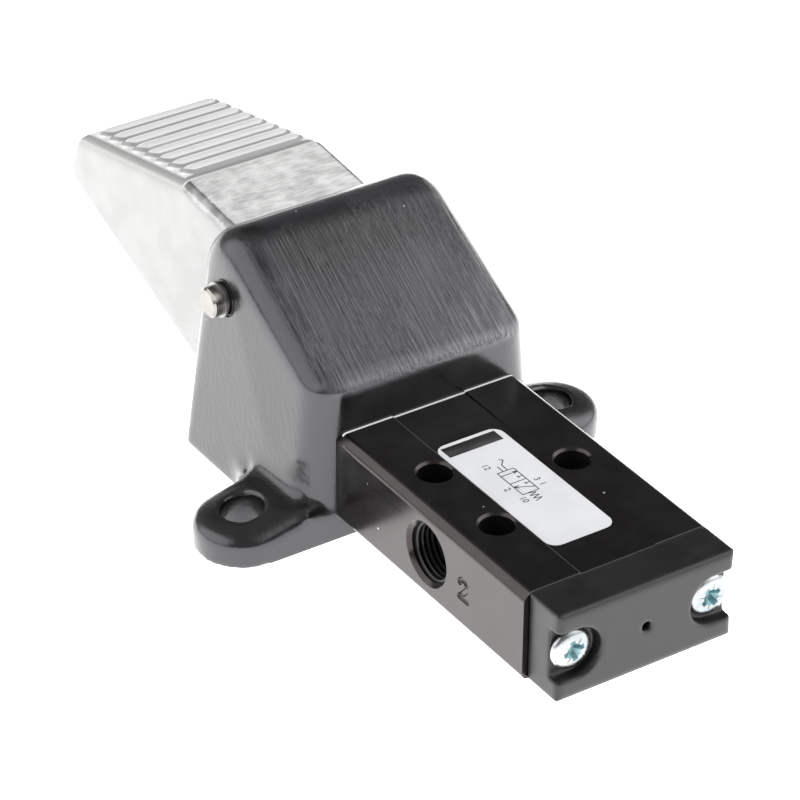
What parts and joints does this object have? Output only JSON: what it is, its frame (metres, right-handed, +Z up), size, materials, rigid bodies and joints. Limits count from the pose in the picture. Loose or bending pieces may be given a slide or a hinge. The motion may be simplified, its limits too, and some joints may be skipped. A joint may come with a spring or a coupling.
{
  "type": "foot pedal air valve",
  "caption": "Foot operated spool valve: a cast housing with foot ears carries a ribbed pedal on a pin, and its nose pushes the spool of a flat valve body with threaded ports.",
  "frame": {"origin": "on the floor plane, midway between the two foot holes", "axes": "+X along the valve from the pedal to the end cap, +Z up"},
  "size_m": [0.1474, 0.075, 0.0423],
  "materials": {
    "housing_paint": "semi-gloss black paint with fine sanding streaks, on a casting",
    "pedal_metal": "bare die-cast aluminium, tumbled, bright",
    "pin_steel": "turned, bright",
    "ring_steel": "spring steel, bright",
    "screw_zinc": "bright zinc plated",
    "spool_metal": "turned",
    "guide_brass": "turned",
    "seal_rubber": "matte",
    "body_black": "black anodised, satin",
    "cap_black": "black anodised, satin",
    "spring_steel": "drawn wire",
    "label_film": "printed film"
  },
  "bodies": {
    "valve": {"pedal_housing": "housing_paint", "pivot_pin": "pin_steel", "retaining_ring_left": "ring_steel", "retaining_ring_right": "ring_steel", "housing_screw_left": "screw_zinc", "housing_screw_right": "screw_zinc", "end_cap_screw_left": "screw_zinc", "end_cap_screw_right": "screw_zinc", "plunger_guide": "guide_brass", "plunger_seal": "seal_rubber", "guide_o_ring": "seal_rubber", "cap_seal": "seal_rubber", "valve_body": "body_black", "end_cap": "cap_black", "return_spring": "spring_steel", "label": "label_film"},
    "pedal": {"pedal": "pedal_metal"},
    "spool": {"plunger": "spool_metal", "spool": "spool_metal", "spool_seal_1": "seal_rubber", "spool_seal_2": "seal_rubber", "spool_seal_3": "seal_rubber", "spool_seal_4": "seal_rubber"}
  },
  "joints": [
    {"name": "pedal_pivot", "type": "hinge", "parent": "valve", "child": "pedal", "pos_m": [-0.02, 0, 0.0315], "axis": [0, -1, 0], "range_deg": [0, 12], "stiffness_Nm_per_rad": 0.76, "springref_deg": -17.65},
    {"name": "spool_slide", "type": "slide", "parent": "valve", "child": "spool", "axis": [1, 0, 0], "range_m": [0, 0.0041], "deforming": ["return_spring"]}
  ],
  "couplings": [
    {"joint": "spool_slide", "follows": "pedal_pivot", "m_per_rad": 0.0195}
  ]
}
